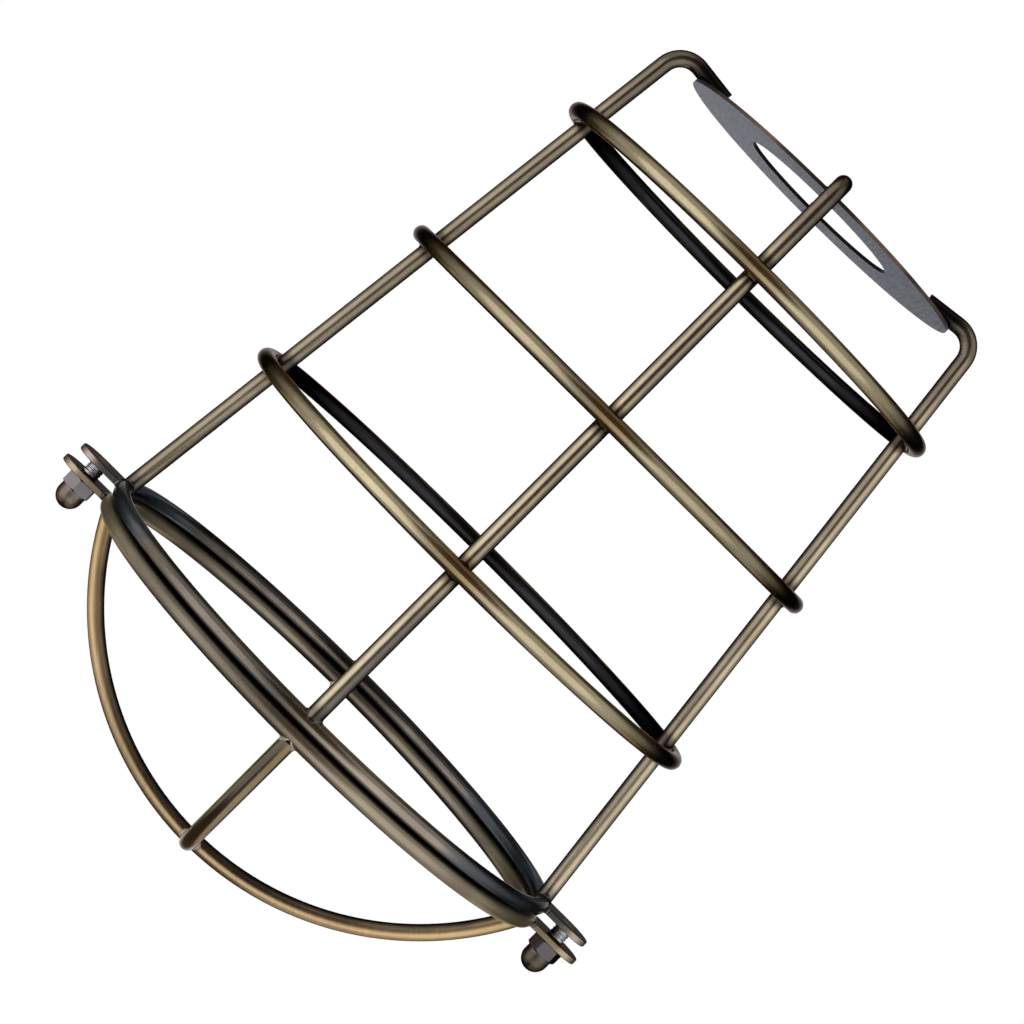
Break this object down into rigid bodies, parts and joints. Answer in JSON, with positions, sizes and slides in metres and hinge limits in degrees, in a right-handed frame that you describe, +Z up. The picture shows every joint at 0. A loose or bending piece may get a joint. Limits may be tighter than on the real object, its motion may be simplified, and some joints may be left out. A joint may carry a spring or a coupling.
{
  "type": "cage lampshade",
  "caption": "Tapered wire cage shade for a hanging lamp: a round top plate takes the lamp holder, welded legs and rings form the body, and a wire dome is bolted to lugs at its mouth.",
  "frame": {"origin": "middle of the lamp holder hole, on the underside of the top plate", "axes": "+Z up along the cage's axis, towards the lamp's cord; +X to the right lug; -Y to the front of the picture"},
  "size_m": [0.1562, 0.131, 0.2001],
  "materials": {
    "antique_brass_wire": "antique brass plate on steel wire, satin",
    "antique_brass_lug": "antique brass plate on steel strip, satin",
    "plate_steel": "smooth blue-grey sheet with a brass edge",
    "zinc_steel": "bright zinc plate",
    "dark_bronze": "dark bronze plate, satin"
  },
  "bodies": {
    "root": {"top_plate": "plate_steel", "leg_front": "antique_brass_wire", "leg_back": "antique_brass_wire", "leg_left": "antique_brass_wire", "leg_right": "antique_brass_wire", "ring_upper": "antique_brass_wire", "ring_middle": "antique_brass_wire", "ring_lower": "antique_brass_wire", "body_hoop": "antique_brass_wire", "dome_hoop": "antique_brass_wire", "dome_arc": "antique_brass_wire", "dome_half_arc_left": "antique_brass_wire", "dome_half_arc_right": "antique_brass_wire", "body_lug_left": "antique_brass_lug", "body_lug_right": "antique_brass_lug", "dome_lug_left": "antique_brass_lug", "dome_lug_right": "antique_brass_lug", "stud_left": "zinc_steel", "stud_right": "zinc_steel", "cap_nut_left": "dark_bronze", "cap_nut_right": "dark_bronze"}
  },
  "joints": []
}
